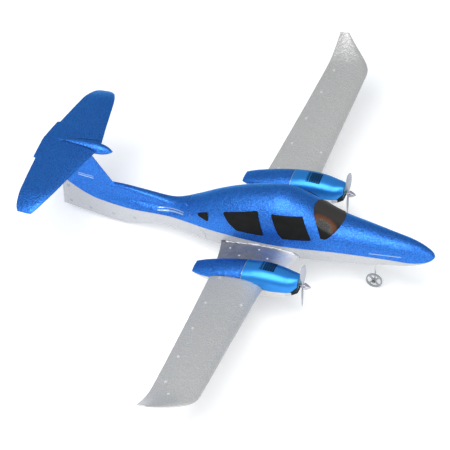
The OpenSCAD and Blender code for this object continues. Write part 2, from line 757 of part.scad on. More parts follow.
hub_d = 4.4;
module wheel() {
    color("gray") difference() {
        union() {
            rotate([90, 0, 0]) rotate_extrude($fn = 72) translate([wheel_r - rim, -wheel_width / 2])
                square([rim, wheel_width]);
            rotate([90, 0, 0]) cylinder(h = wheel_width + 0.6, d = hub_d, center = true, $fn = 48);
            for (a = [45 : 90 : 315]) rotate([0, a, 0]) translate([hub_d / 2 - 0.4, -0.6, -0.7])
                cube([wheel_r - rim - hub_d / 2 + 0.8, 1.2, 1.4]);
        }
        rotate([90, 0, 0]) cylinder(h = 9, d = leg_d + 2 * bearing_gap, center = true, $fn = 48);
    }
}
module nose_wheel() {
    translate([nose_leg_x, 0, wheel_r]) wheel();
}
module main_leg_socket(g = 0) {
    translate([main_leg_x, pod_y - leg_side, read(pod_table, main_leg_x, 4) - 0.6 - g])
        cylinder(h = 8 + 2 * g, d = socket_d - 1 + 2 * g, $fn = 48);
}
module main_leg_sockets() {
    color("whitesmoke") for (side = [-1, 1]) on_side(side) difference() {
        main_leg_socket();
        translate([main_leg_x, pod_y - leg_side, 15]) cylinder(h = 16.4, d = leg_d, $fn = 48);
    }
}
module main_leg(side) {
    on_side(side) translate([main_leg_x, pod_y, 0]) mirror([0, 1, 0]) wire_leg(31.4);
}
module main_leg_left() { main_leg(1); }
module main_leg_right() { main_leg(-1); }
module main_wheel(side) {
    on_side(side) translate([main_leg_x, pod_y, wheel_r]) wheel();
}
module main_wheel_left() { main_wheel(1); }
module main_wheel_right() { main_wheel(-1); }

collar_width = 1;
module collar_at(x, y, out) {
    translate([x, y + out * (wheel_width / 2 + 0.3 + 0.3 + collar_width / 2), wheel_r]) rotate([90, 0, 0])
        difference() {
            cylinder(h = collar_width, d = leg_d + 1.6, center = true, $fn = 32);
            cylinder(h = 3, d = leg_d, center = true, $fn = 32);
        }
}
module wheel_collars() {
    color("dimgray") {
        collar_at(nose_leg_x, 0, -1);
        for (side = [-1, 1]) collar_at(main_leg_x, side * pod_y, side);
    }
}

fuselage_upper();
fuselage_lower();
tail_boom();
tail_keel();
tailplane();
wing_left();
wing_right();
pod_left();
pod_right();
cowl_left();
cowl_right();
vent_left();
vent_right();
intake_left();
intake_right();
wing_spars();
spar_joiner();
motor_left();
motor_right();
motor_mount_left();
motor_mount_right();
motor_shaft_left();
motor_shaft_right();
propeller_left();
propeller_right();
spinner_left();
spinner_right();
windscreen();
side_windows_left();
side_windows_right();
equipment_tray();
battery();
receiver_board();
power_switch();
switch_knob();
battery_hatch();
hatch_leaf();
hatch_hinge();
hatch_pin();
nose_leg_socket();
nose_leg();
nose_wheel();
main_leg_sockets();
main_leg_left();
main_leg_right();
main_wheel_left();
main_wheel_right();
wheel_collars();
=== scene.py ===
"""Finishes a foam model aeroplane: painted foam, glossy cowls, window films, stage and camera."""

import json
import random
from math import cos, pi, radians, sin, sqrt

import bmesh
import bpy
from mathutils import Matrix, Vector


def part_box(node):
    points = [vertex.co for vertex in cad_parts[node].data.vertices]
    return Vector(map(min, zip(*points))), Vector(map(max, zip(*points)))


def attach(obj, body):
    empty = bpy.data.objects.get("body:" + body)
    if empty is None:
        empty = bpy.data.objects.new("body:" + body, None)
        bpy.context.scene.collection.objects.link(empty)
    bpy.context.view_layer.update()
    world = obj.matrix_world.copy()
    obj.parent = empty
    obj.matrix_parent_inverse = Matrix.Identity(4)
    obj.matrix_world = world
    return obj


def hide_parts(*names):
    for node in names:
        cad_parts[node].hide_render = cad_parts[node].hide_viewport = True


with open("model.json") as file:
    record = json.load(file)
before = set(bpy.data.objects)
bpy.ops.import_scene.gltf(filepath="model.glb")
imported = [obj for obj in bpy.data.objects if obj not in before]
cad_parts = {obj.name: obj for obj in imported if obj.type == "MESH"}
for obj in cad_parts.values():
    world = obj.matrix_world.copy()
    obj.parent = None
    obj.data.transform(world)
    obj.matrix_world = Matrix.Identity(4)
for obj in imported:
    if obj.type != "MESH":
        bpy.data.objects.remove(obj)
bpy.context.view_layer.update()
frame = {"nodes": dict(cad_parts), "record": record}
nodes = frame["nodes"]
record = frame["record"]

bl_info = {
    "name": "Foam Aeroplane Finish",
    "version": (1, 0, 0),
    "blender": (4, 5, 0),
    "location": "View3D > Sidebar > Aeroplane",
    "description": "Finishes a twin-engine foam model aeroplane and sets its stage",
    "category": "Object",
}

MM = 0.001
PEARL = (0.20, 0.72, 1.0)  # sheen of the blue paint
MERGE_DISTANCE = 0.004 * MM  # corners of loose triangles this near are one
RAY_START = 0.2  # metres above or beside the object, where a ray to a skin starts
BODY_OF = {n: body for body, names in record["behaviour"]["bodies"].items() for n in names}
SLOT_OF = {part["node"]: part["material_slot"] for part in record["subparts"]}


# ---- Settings ------------------------------------------------------------------------------


def length_setting(name, description, default_mm):
    """A length that the user may change."""
    return bpy.props.FloatProperty(
        name=name,
        description=description,
        default=default_mm * MM,
        min=0,
        unit="LENGTH",
        precision=5,
    )


def colour_setting(name, description, default):
    """A colour that the user may change."""
    return bpy.props.FloatVectorProperty(
        name=name,
        description=description,
        default=default,
        min=0,
        max=1,
        size=3,
        subtype="COLOR",
    )


class AeroplaneSizes(bpy.types.PropertyGroup):
    """Sizes of the finish and of the small pieces."""

    bead: length_setting("Bead", "Width of one foam bead in the moulded skin", 2.9)
    bead_relief: length_setting("Bead relief", "Depth of the fine wrinkles on the beads", 0.3)
    bead_depth: length_setting("Bead depth", "Depth that the beads are pressed into the skin", 0.2)
    steam_mark: length_setting("Steam mark", "Diameter of the round marks the mould leaves", 3.4)
    edge_round: length_setting("Edge round", "Rounding of the hard plastic edges", 0.15)


class AeroplaneColours(bpy.types.PropertyGroup):
    """Colours of the paint and the plastics."""

    paint: colour_setting("Paint", "Metallic blue of the upper foam", (0.036, 0.275, 0.83))
    # paint_dip_shade: the blue of the dips between the wrinkles, painted there as shade
    paint_dip_shade: colour_setting("Deep paint", "Blue in the paint's hollows", (0.018, 0.085, 0.48))
    cowl: colour_setting("Cowl", "Glossy blue of the engine cowls", (0.032, 0.265, 0.78))
    silver: colour_setting("Silver foam", "Silver of the belly and the keel", (0.56, 0.57, 0.59))
    wing: colour_setting("Wing foam", "Warm silver of the wings", (0.71, 0.70, 0.68))
    film: colour_setting("Film", "Dark film of the windows", (0.007, 0.007, 0.007))
    stripe: colour_setting("Stripe", "Pale stripes on the tail", (0.55, 0.68, 0.80))


# ---- Materials -----------------------------------------------------------------------------


class Value:
    """A number that changes over a surface. Arithmetic on it adds Math nodes."""

    def __init__(self, finish, socket):
        self.finish = finish
        self.socket = socket

    def maths(self, operation, *values):
        """One Math node, fed with the values in order."""
        return self.finish.node("ShaderNodeMath", {"operation": operation}, dict(enumerate(values)))

    def __add__(self, other):
        return self.maths("ADD", self, other)

    def __radd__(self, other):
        return self.maths("ADD", other, self)

    def __sub__(self, other):
        return self.maths("SUBTRACT", self, other)

    def __rsub__(self, other):
        return self.maths("SUBTRACT", other, self)

    def __mul__(self, other):
        return self.maths("MULTIPLY", self, other)

    def __rmul__(self, other):
        return self.maths("MULTIPLY", other, self)

    def __truediv__(self, other):
        return self.maths("DIVIDE", self, other)

    def __abs__(self):
        return self.maths("ABSOLUTE", self)

    def squared(self):
        return self * self

    def root(self):
        return self.maths("SQRT", self)

    def share(self):
        """The part after the decimal point."""
        return self.maths("FRACT", self)

    def above(self, edge, soft):
        """0 below the edge and 1 above it, with a soft step between."""
        return self.finish.node(
            "ShaderNodeMapRange",
            {"interpolation_type": "SMOOTHSTEP"},
            {"Value": self, "From Min": edge - soft, "From Max": edge + soft},
        )

    def below(self, edge, soft):
        """1 below the edge and 0 above it."""
        return 1 - self.above(edge, soft)

    def within(self, low, high, soft):
        """1 between two edges and 0 outside them."""
        return self.above(low, soft) * self.below(high, soft)


class Finish:
    """One material while it is mixed."""

    def __init__(self, name, **even):
        self.material = bpy.data.materials.new(name)
        self.material.use_nodes = True
        self.tree = self.material.node_tree
        self.shader = self.tree.nodes["Principled BSDF"]
        for socket, value in even.items():
            self.set(socket.replace("_", " ").title().replace("Ior", "IOR"), value)

    def set(self, socket, value):
        """An even value for one of the shader's sockets."""
        if isinstance(value, tuple) and len(value) == 3:
            value = (*value, 1.0)
        self.shader.inputs[socket].default_value = value

    def node(self, kind, settings, inputs, output=0):
        """Adds a node, sets it up, feeds its sockets and gives one of its outputs."""
        made = self.tree.nodes.new(kind)
        for key, value in settings.items():
            setattr(made, key, value)
        for key, value in inputs.items():
            if isinstance(value, Value):
                self.tree.links.new(value.socket, made.inputs[key])
            else:
                made.inputs[key].default_value = value
        return Value(self, made.outputs[output])

    def place(self):
        """Place on the object, in metres."""
        return self.node("ShaderNodeTexCoord", {}, {}, "Object")

    def axes(self):
        """Forward, left and up on the object, as three values."""
        split = self.tree.nodes.new("ShaderNodeSeparateXYZ")
        self.tree.links.new(self.place().socket, split.inputs[0])
        return [Value(self, out) for out in split.outputs]

    def noise(self, size, detail=2.0, rough=0.5):
        """Soft clouds about 0.5, with blotches of the given size."""
        return self.node(
            "ShaderNodeTexNoise",
            {"noise_dimensions": "3D"},
            {"Vector": self.place(), "Scale": 1 / size, "Detail": detail, "Roughness": rough},
        )

    def cells(self, size):
        """Cells like foam beads, 0 in the middle of each, that run into each other."""
        return self.node(
            "ShaderNodeTexVoronoi",
            {"voronoi_dimensions": "3D", "feature": "SMOOTH_F1"},
            {"Vector": self.place(), "Scale": 1 / size},
            "Distance",
        )

    def mix(self, share, first, second):
        """From the first colour to the second."""

        def as_colour(c):
            return c if isinstance(c, Value) else (*c, 1.0)

        return self.node(
            "ShaderNodeMix",
            {"data_type": "RGBA"},
            {"Factor": share, 6: as_colour(first), 7: as_colour(second)},
            2,
        )

    def feed(self, socket, value):
        """Links a changing value to one of the shader's sockets."""
        self.tree.links.new(value.socket, self.shader.inputs[socket])

    def relief(self, height, depth):
        """Small bumps of the given depth, where the height is 1."""
        self.feed("Normal", self.node("ShaderNodeBump", {}, {"Height": height, "Distance": depth}))


def wrinkles(finish, bead):
    """Fine squiggles pressed into the skin between the beads, 0 in a dip and 1 on a ridge."""
    return finish.noise(0.38 * bead, 1.0).above(0.5, 0.12)


def foam_relief(finish, bead, depth):
    """Rounded beads that run into each other, with the wrinkles on top."""
    dome = finish.cells(bead)
    finish.relief(0.8 * (1 - dome) + 0.5 * wrinkles(finish, bead), depth)


def painted_foam(name, face, dip_shade, sizes, marks=None):
    """Metallic paint over moulded foam beads, darker in the dips of the wrinkles as painted shade
    and lighter on the ridges as painted highlight; marks(finish, colour) may print or paint shade
    on it.
    """
    finish = Finish(name, metallic=1.0, specular_tint=PEARL, coat_weight=0.35, coat_roughness=0.4)
    # Painted shade and highlight: the dips of the wrinkles lean to the shaded blue, the ridges to
    # the lit blue.
    shade = finish.mix(0.28 + 0.5 * wrinkles(finish, sizes.bead), dip_shade, face)
    shade = finish.mix(0.2 * finish.noise(14 * MM), shade, dip_shade)
    if marks:
        shade = marks(finish, shade)
    finish.feed("Base Color", shade)
    finish.feed("Roughness", 0.30 + 0.12 * finish.noise(3 * MM))
    foam_relief(finish, sizes.bead, sizes.bead_relief)
    return finish.material


def silver_foam(name, colour, sizes, metallic, marks=None):
    """Silver paint on foam, a little greyer in the dips of the wrinkles as painted shade."""
    finish = Finish(name, metallic=metallic)
    # Painted shade: the dips of the wrinkles are a little darker.
    shade = finish.mix(wrinkles(finish, sizes.bead), tuple(0.9 * c for c in colour), colour)
    shade = finish.mix(0.3 * finish.noise(25 * MM), shade, tuple(0.86 * c for c in colour))
    if marks:
        shade = marks(finish, shade)
    finish.feed("Base Color", shade)
    finish.feed("Roughness", 0.34 + 0.16 * finish.noise(4 * MM))
    foam_relief(finish, sizes.bead, 0.9 * sizes.bead_relief)
    return finish.material


def moulded_plastic(name, colour, rough=0.3, grain=0.02 * MM, metallic=0.0, coat=0.0):
    """Injection-moulded plastic with a faint grain and flow marks."""
    finish = Finish(name, roughness=rough, metallic=metallic, coat_weight=coat, coat_roughness=0.12)
    flow = finish.noise(9 * MM, 3.0)
    finish.feed("Base Color", finish.mix(0.25 * flow, colour, tuple(0.72 * c for c in colour)))
    finish.feed("Roughness", rough - 0.06 + 0.14 * finish.noise(2.5 * MM))
    finish.relief(finish.noise(0.6 * MM), grain)
    return finish.material


def drawn_metal(name, colour, rough=0.28):
    """Bright drawn wire or can, with fine lines along it."""
    finish = Finish(name, roughness=rough, metallic=1.0)
    streak = finish.noise(1.2 * MM, 4.0, 0.7)
    finish.feed("Base Color", finish.mix(0.3 * streak, colour, tuple(0.7 * c for c in colour)))
    finish.feed("Roughness", rough - 0.08 + 0.2 * streak)
    finish.relief(streak, 0.02 * MM)
    return finish.material


# ---- Mesh tools ----------------------------------------------------------------------------


def work_on(*pieces):
    """Selects only these pieces; the last one is active."""
    if bpy.context.mode != "OBJECT":
        bpy.ops.object.mode_set(mode="OBJECT")
    bpy.ops.object.select_all(action="DESELECT")
    for piece in pieces:
        piece.select_set(True)
    bpy.context.view_layer.objects.active = pieces[-1]


def add_modifier(piece, kind, **settings):
    """Adds a modifier and applies it."""
    work_on(piece)
    modifier = piece.modifiers.new(kind.title(), kind)
    for key, value in settings.items():
        setattr(modifier, key, value)
    bpy.ops.object.modifier_apply(modifier=modifier.name)


def dress(piece, material, node=None, body=None):
    """Gives a piece its material and the body of the node that it stands for, and hides that node.
    """
    piece.data.materials.clear()
    piece.data.materials.append(material)
    if node:
        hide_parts(node)
    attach(piece, body or BODY_OF[node])


def merged_copy(node, name):
    """A copy of a node's mesh with its loose triangles joined up."""
    piece = bpy.data.objects.new(name, nodes[node].data.copy())
    bpy.context.scene.collection.objects.link(piece)
    work_on(piece)
    bpy.ops.object.mode_set(mode="EDIT")
    bpy.ops.mesh.select_all(action="SELECT")
    bpy.ops.mesh.remove_doubles(threshold=MERGE_DISTANCE)
    bpy.ops.mesh.tris_convert_to_quads(face_threshold=radians(25), shape_threshold=radians(70))
    bpy.ops.object.mode_set(mode="OBJECT")
    return piece


def bead_pattern(bead):
    """Cells of the bead's size, 0 in the middle of each and 1 between them."""
    pattern = bpy.data.textures.get("Foam beads") or bpy.data.textures.new("Foam beads", "VORONOI")
    pattern.noise_scale = bead
    return pattern


def smooth_moulding(node, name, material, sharp=38, levels=2, beads=None):
    """A copy of a moulding: facets rounded away, real edges kept, beads pressed in."""
    piece = merged_copy(node, name)
    mesh = bmesh.new()
    mesh.from_mesh(piece.data)
    layers = mesh.edges.layers.float
    crease = layers.get("crease_edge") or layers.new("crease_edge")
    for edge in mesh.edges:
        if len(edge.link_faces) != 2 or edge.calc_face_angle() > radians(sharp):
            edge[crease] = 1.0
    mesh.to_mesh(piece.data)
    mesh.free()
    add_modifier(piece, "SUBSURF", levels=levels, render_levels=levels, boundary_smooth="ALL")
    if beads:
        texture = bead_pattern(beads.bead)
        add_modifier(piece, "DISPLACE", texture=texture, strength=-beads.bead_depth, mid_level=0)
    bpy.ops.object.shade_smooth_by_angle(angle=radians(sharp))
    dress(piece, material, node)
    return piece


def rounded_part(node, name, material, width, segments=2, sharp=40):
    """A copy of a hard part with its edges rounded."""
    piece = merged_copy(node, name)
    add_modifier(
        piece,
        "BEVEL",
        width=width,
        segments=segments,
        limit_method="ANGLE",
        angle_limit=radians(sharp),
    )
    bpy.ops.object.shade_smooth_by_angle(angle=radians(sharp))
    dress(piece, material, node)
    return piece


# ---- Foam body -----------------------------------------------------------------------------


# The joint between body and tail, seen from the side: it falls from a dip behind the cabin.
SEAM_DIP_X = -44.5 * MM
SEAM_DIP_Z = 52 * MM
SEAM_LOW_X = -21.5 * MM
SEAM_LOW_Z = 33.5 * MM
SEAM_LEAN = 0.1  # backward lean of the stretch above the dip
SEAM_SQUARE = 0.72  # share of an upright distance that is square to the falling stretch
SEAM_APART = 9 * MM  # keeps each stretch of the seam to its own side of the dip
STRIPE_SOFT = 0.15 * MM
BOOM_RISE = 0.23  # slope of the stripes on the boom
BOOM_STRIPES = ((36.2 * MM, 37.2 * MM), (38.2 * MM, 38.8 * MM))
FIN_STRIPES = ((51.0 * MM, 52.0 * MM), (53.4 * MM, 54.0 * MM))
NOSE_RISE = 0.03
# Painted shade in the groove beside the tailplane's middle fairing.
CREASE_SHADE_COLOUR = (0.003, 0.014, 0.10)


def tail_seam(x, z):
    """Distance to the joint between the body and the tail, seen from the side."""
    fall = (SEAM_DIP_Z - SEAM_LOW_Z) / (SEAM_LOW_X - SEAM_DIP_X)
    back, up = x - SEAM_DIP_X, z - SEAM_DIP_Z
    upper = abs(back - up * SEAM_LEAN) + SEAM_APART * z.below(SEAM_DIP_Z, 0.1 * MM)
    lower = abs(up + back * fall) * SEAM_SQUARE + SEAM_APART * z.above(SEAM_DIP_Z, 0.1 * MM)
    return upper.maths("MINIMUM", upper, lower)


class AEROPLANE_OT_body(bpy.types.Operator):
    """Body and tail mouldings in painted and silver foam"""

    bl_idname = "aeroplane.body"
    bl_label = "Body and tail"

    def execute(self, context):
        sizes = context.scene.aeroplane_sizes
        colours = context.scene.aeroplane_colours
        paint, dip_shade, stripe = tuple(colours.paint), tuple(colours.paint_dip_shade), tuple(colours.stripe)

        def stripes(height, bands):
            """Level bands; their masks add up."""
            first, *rest = [height.within(low, high, STRIPE_SOFT) for low, high in bands]
            return sum(rest, first)

        def body_marks(finish, shade):
            """Flecks of glue along the joint with the tail."""
            x, _, z = finish.axes()
            flecks = finish.noise(1.9 * MM, 3.0).above(0.55, 0.05)
            glued = tail_seam(x, z).below(0.5 * MM, 0.3 * MM)
            return finish.mix(0.45 * glued * flecks, shade, stripe)

        def boom_marks(finish, shade):
            """Two stripes along the boom and two on the fin."""
            x, _, z = finish.axes()
            rise = z - BOOM_RISE * (x + 76 * MM)
            boom = x.within(-74 * MM, -46 * MM, STRIPE_SOFT) * stripes(rise, BOOM_STRIPES)
            fin = x.within(-157 * MM, -141 * MM, STRIPE_SOFT) * stripes(z, FIN_STRIPES)
            return finish.mix(0.8 * (boom + fin), body_marks(finish, shade), stripe)

        def top_marks(finish, shade):
            """One stripe on each side of the nose."""
            x, _, z = finish.axes()
            rise = z - NOSE_RISE * (x - 135 * MM)
            line = rise.within(54.5 * MM, 55.3 * MM, 0.2 * MM)
            nose = x.within(135 * MM, 164 * MM, 0.2 * MM) * line
            return finish.mix(0.6 * nose, body_marks(finish, shade), stripe)

        def plane_crease_shade(finish, shade):
            """Painted shade: a dark line along each side of the middle fairing, where shade falls
            in the groove beside it.
            """
            x, y, _ = finish.axes()
            edge = abs(y) - 0.17 * (x + 172 * MM)
            length = x.within(-173 * MM, -136 * MM, 3 * MM)
            # Painted shade along the groove beside the fairing.
            crease = edge.within(0.9 * MM, 2.1 * MM, 0.5 * MM) * length
            return finish.mix(0.7 * crease, shade, CREASE_SHADE_COLOUR)

        top = painted_foam("Blue foam", paint, dip_shade, sizes, top_marks)
        tail = painted_foam("Blue tail foam", paint, dip_shade, sizes, boom_marks)
        plane = painted_foam("Blue tailplane foam", paint, dip_shade, sizes, plane_crease_shade)
        belly = silver_foam("Silver foam", tuple(colours.silver), sizes, 0.2)
        smooth_moulding("fuselage_upper", "body_top", top, beads=sizes)
        smooth_moulding("fuselage_lower", "body_belly", belly, beads=sizes)
        smooth_moulding("tail_boom", "tail_boom_and_fin", tail, beads=sizes)
        smooth_moulding("tail_keel", "tail_keel_skin", belly, beads=sizes)
        smooth_moulding("battery_hatch", "belly_hatch", belly, beads=sizes)
        smooth_moulding("tailplane", "tailplane_skin", plane, beads=sizes)
        return {"FINISHED"}


PANEL_EDGE = 60 * MM  # the root panel ends this far out, and its painted bright reflection at the front starts this far ahead
# Painted reflection on the root panel: dark where it mirrors the body, bright at the front.
PANEL_REFLECTED_SHADE = (0.20, 0.21, 0.26)
PANEL_REFLECTED_SHINE = (0.94, 0.94, 0.96)


class AEROPLANE_OT_wings(bpy.types.Operator):
    """Wings in warm silver foam"""

    bl_idname = "aeroplane.wings"
    bl_label = "Wings"

    def execute(self, context):
        sizes = context.scene.aeroplane_sizes
        colours = context.scene.aeroplane_colours
        skin = silver_foam("Wing foam", tuple(colours.wing), sizes, 0.75, self.painted_root_reflection)
        for side in ("left", "right"):
            smooth_moulding("wing_" + side, "wing_skin_" + side, skin, beads=sizes)
        return {"FINISHED"}

    def painted_root_reflection(self, finish, shade):
        """Painted reflection on the polished panel between the body and the pod: blotched darker
        silver where it mirrors the dark body, and a painted bright sheen at its front.
        """
        x, y, _ = finish.axes()
        inner = abs(y).below(PANEL_EDGE, 5 * MM)
        # Painted reflection: blotched dark over the panel, fading out towards its front.
        reflection_blotch = 0.6 + 0.45 * finish.noise(7 * MM, 3.0) - 0.9 * x.above(PANEL_EDGE, 12 * MM)
        shade = finish.mix(inner * reflection_blotch, shade, PANEL_REFLECTED_SHADE)
        # Painted bright sheen along the panel's front.
        return finish.mix(0.9 * inner * x.above(PANEL_EDGE, 10 * MM), shade, PANEL_REFLECTED_SHINE)


CHIN_RAKE = 37.9 * MM  # forward less up, along the raked mouth under each cowl
MOUTH_REAR = 82 * MM  # the black of each intake starts here
SLATS = 6
RIM_SHADE = (0.004, 0.012, 0.06)
CORNER_BLACK = (0.006, 0.007, 0.010)
SLOT_SHADE = (0.003, 0.008, 0.03)


class AEROPLANE_OT_pods(bpy.types.Operator):
    """Foam pods, plastic cowls, louvred vents and black intakes"""

    bl_idname = "aeroplane.pods"
    bl_label = "Engine pods"

    def execute(self, context):
        sizes = context.scene.aeroplane_sizes
        colours = context.scene.aeroplane_colours
        paint, dip_shade = tuple(colours.paint), tuple(colours.paint_dip_shade)
        foam = painted_foam("Pod foam", paint, dip_shade, sizes)
        gloss = self.cowl_plastic(tuple(colours.cowl), tuple(colours.stripe))
        louvre = self.louvre_plastic(tuple(colours.cowl))
        mouth = self.mouth_plastic(tuple(colours.silver))
        for side in ("left", "right"):
            smooth_moulding("pod_" + side, "pod_rear_" + side, foam, beads=sizes)
            smooth_moulding("cowl_" + side, "cowl_shell_" + side, gloss)
            smooth_moulding("vent_" + side, "cowl_vent_" + side, louvre, sharp=25, levels=1)
            smooth_moulding("intake_" + side, "chin_intake_" + side, mouth)
        return {"FINISHED"}

    def cowl_plastic(self, colour, pale):
        """Glossy pearl plastic with a pale rolled rear edge."""
        finish = Finish(
            "Cowl plastic",
            metallic=0.75,
            ior=1.8,
            specular_tint=PEARL,
            coat_weight=0.2,
            coat_roughness=0.1,
        )
        x, _, z = finish.axes()
        rear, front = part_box("cowl_left")[0][0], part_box("cowl_left")[1][0]
        flow = finish.noise(11 * MM, 3.0)
        shade = finish.mix(0.3 * flow, colour, tuple(0.6 * c for c in colour))
        shade = finish.mix(0.55 * x.below(rear + 0.5 * MM, 0.15 * MM), shade, pale)
        shade = finish.mix(0.9 * x.above(front - 0.25 * MM, 0.1 * MM), shade, RIM_SHADE)
        corner = (x - z).above(CHIN_RAKE, 0.2 * MM)
        finish.feed("Base Color", finish.mix(corner, shade, CORNER_BLACK))
        finish.feed("Roughness", 0.28 + 0.1 * finish.noise(3 * MM))
        finish.relief(finish.noise(5 * MM), 0.12 * MM)
        return finish.material

    def mouth_plastic(self, pale):
        """Black mouth in front, silver like the pod behind it."""
        finish = Finish("Intake plastic", roughness=0.4, specular_ior_level=0.08)
        shade = finish.mix(finish.noise(2 * MM), (0.004, 0.004, 0.005), (0.010, 0.010, 0.011))
        rear = finish.axes()[0].below(MOUTH_REAR, 0.25 * MM)
        finish.feed("Base Color", finish.mix(rear, shade, pale))
        finish.relief(finish.noise(0.8 * MM), 0.03 * MM)
        return finish.material

    def louvre_plastic(self, colour):
        """Dark blue with a darker slot behind every slat."""
        finish = Finish("Vent plastic", metallic=0.5, roughness=0.35, specular_tint=PEARL)
        x = finish.axes()[0]
        rear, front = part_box("vent_left")[0][0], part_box("vent_left")[1][0]
        slot = ((x - rear) * (SLATS / (front - rear))).share().above(0.62, 0.08)
        blend = x.within(rear, rear + 4 * MM, 1.5 * MM)
        slat = finish.mix(blend, tuple(0.22 * c for c in colour), tuple(0.6 * c for c in colour))
        finish.feed("Base Color", finish.mix(slot, slat, SLOT_SHADE))
        finish.feed("Roughness", 0.3 + 0.15 * finish.noise(2 * MM))
        return finish.material


class AEROPLANE_OT_windows(bpy.types.Operator):
    """Dark printed films of the cabin windows and the windscreen"""

    bl_idname = "aeroplane.windows"
    bl_label = "Windows"

    def execute(self, context):
        colours = context.scene.aeroplane_colours
        film = self.film_material("Window film", tuple(colours.film))
        glass = self.film_material("Windscreen film", tuple(colours.film), self.cabin_glow)
        smooth_moulding("windscreen", "windscreen_film", glass)
        for side in ("left", "right"):
            smooth_moulding("side_windows_" + side, "cabin_window_films_" + side, film)
        return {"FINISHED"}

    def film_material(self, name, colour, printed=None):
        """Dark satin film with faint scuffs."""
        finish = Finish(name, specular_ior_level=0.06)
        shade = finish.mix(finish.noise(7 * MM, 3.0), colour, tuple(2.2 * c for c in colour))
        if printed:
            shade = printed(finish, shade)
        finish.feed("Base Color", shade)
        finish.feed("Roughness", 0.32 + 0.2 * finish.noise(5 * MM))
        finish.relief(finish.noise(2.4 * MM), 0.05 * MM)
        return finish.material

    def cabin_glow(self, finish, shade):
        """Printed view into the cabin: a grey haze, an amber band and a pale speckle under it."""
        x, y, _ = finish.axes()
        grey = finish.mix(0.8 * y.above(-9 * MM, 5 * MM), shade, (0.045, 0.042, 0.040))
        along_x, across = (x - 91 * MM) / (11 * MM), (y + 16.5 * MM) / (7.5 * MM)
        reach = (along_x.squared() + across.squared()).root() + 0.25 * (finish.noise(5 * MM) - 0.5)
        amber = reach.within(0.72, 1.2, 0.25) * y.above(-17 * MM, 2.5 * MM)
        speckle = finish.noise(0.7 * MM, 2.0, 0.8).above(0.52, 0.25)
        pale = reach.below(0.8, 0.15) * y.above(-17.5 * MM, 1.2 * MM) * speckle
        shade = finish.mix(amber * (0.3 + 0.7 * finish.noise(4 * MM)), grey, (0.17, 0.058, 0.026))
        return finish.mix(0.6 * pale, shade, (0.20, 0.20, 0.185))


BLADE_REACH = 1.02  # of the plain CAD blade's
BLADE_ROOT = 1.2 * MM  # the blades start this far from the axis
BLADE_CAMBER = 0.25 * MM
HUB_RADIUS = 2.0 * MM
HUB_DEPTH = 2.4 * MM
BLADE = (
    # share of the way out, chord, thickness, pitch in degrees
    (0.00, 1.8, 1.5, 42),
    (0.10, 2.4, 1.3, 40),
    (0.30, 5.4, 1.05, 36),
    (0.55, 7.6, 0.85, 31),
    (0.78, 7.2, 0.65, 27),
    (0.93, 5.4, 0.5, 25),
    (1.00, 2.6, 0.4, 24),
)


def along(table, share):
    """A row of a table read at a share of the way, straight between rows."""
    for low, high in zip(table, table[1:]):
        if share <= high[0]:
            part = (share - low[0]) / (high[0] - low[0])
            return [a + (b - a) * part for a, b in zip(low, high)]
    return table[-1]


class AEROPLANE_OT_propellers(bpy.types.Operator):
    """Twisted two-blade propellers with hubs, and pointed spinners"""

    bl_idname = "aeroplane.propellers"
    bl_label = "Propellers"

    def execute(self, context):
        clear = self.smoky_plastic()
        silver = moulded_plastic(
            "Spinner plastic", (0.50, 0.47, 0.54), 0.16, metallic=0.85, coat=0.5
        )
        for side in ("left", "right"):
            low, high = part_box("propeller_" + side)
            axis = (Vector(low) + Vector(high)) / 2
            reach = BLADE_REACH * (high[2] - low[2]) / 2
            blades = [self.blade(axis, reach, half) for half in (0, pi)]
            hub = self.hub(axis)
            work_on(*blades, hub)
            bpy.ops.object.join()
            hub.name = "propeller_blades_" + side
            bpy.ops.object.shade_smooth_by_angle(angle=radians(40))
            dress(hub, clear, "propeller_" + side)
            smooth_moulding("spinner_" + side, "spinner_cap_" + side, silver, sharp=60, levels=3)
        return {"FINISHED"}

    def blade(self, axis, reach, half):
        """One blade, drawn out of a sphere whose rings become its sections."""
        bpy.ops.object.select_all(action="DESELECT")
        bpy.ops.mesh.primitive_uv_sphere_add(segments=24, ring_count=28, radius=1)
        blade = bpy.context.object
        turn = Matrix.Rotation(half, 3, "X")
        for vertex in blade.data.vertices:
            x, y, z = vertex.co
            share = (z + 1) / 2
            width = max(1e-6, sqrt(x * x + y * y))
            shut = min(1.0, width / 0.35)
            _, chord, thick, pitch = along(BLADE, share)
            across, through = shut * chord / 2 * x / width, shut * thick / 2 * y / width
            lean = radians(90 - pitch)
            camber = BLADE_CAMBER * (x / width) ** 2 * shut
            flat = Vector((across * MM, through * MM + camber, 0))
            flat = Matrix.Rotation(lean, 3, "Z") @ flat
            flat.z = BLADE_ROOT + share * (reach - BLADE_ROOT)
            vertex.co = axis + turn @ flat
        return blade

    def hub(self, axis):
        """The round hub that both blades grow from."""
        bpy.ops.object.select_all(action="DESELECT")
        bpy.ops.mesh.primitive_cylinder_add(
            vertices=40, radius=HUB_RADIUS, depth=HUB_DEPTH, location=axis, rotation=(0, pi / 2, 0)
        )
        hub = bpy.context.object
        bpy.ops.object.transform_apply(location=True, rotation=True, scale=True)
        add_modifier(hub, "BEVEL", width=0.35 * MM, segments=3, limit_method="ANGLE")
        return hub

    def smoky_plastic(self):
        """Frosted clear plastic."""
        finish = Finish(
            "Propeller plastic", ior=1.45, alpha=0.9, coat_weight=0.3, coat_roughness=0.15
        )
        shade = finish.mix(finish.noise(6 * MM), (0.36, 0.39, 0.45), (0.52, 0.55, 0.60))
        finish.feed("Base Color", shade)
        finish.feed("Roughness", 0.22 + 0.15 * finish.noise(3 * MM))
        finish.relief(finish.noise(1.5 * MM), 0.02 * MM)
        return finish.material


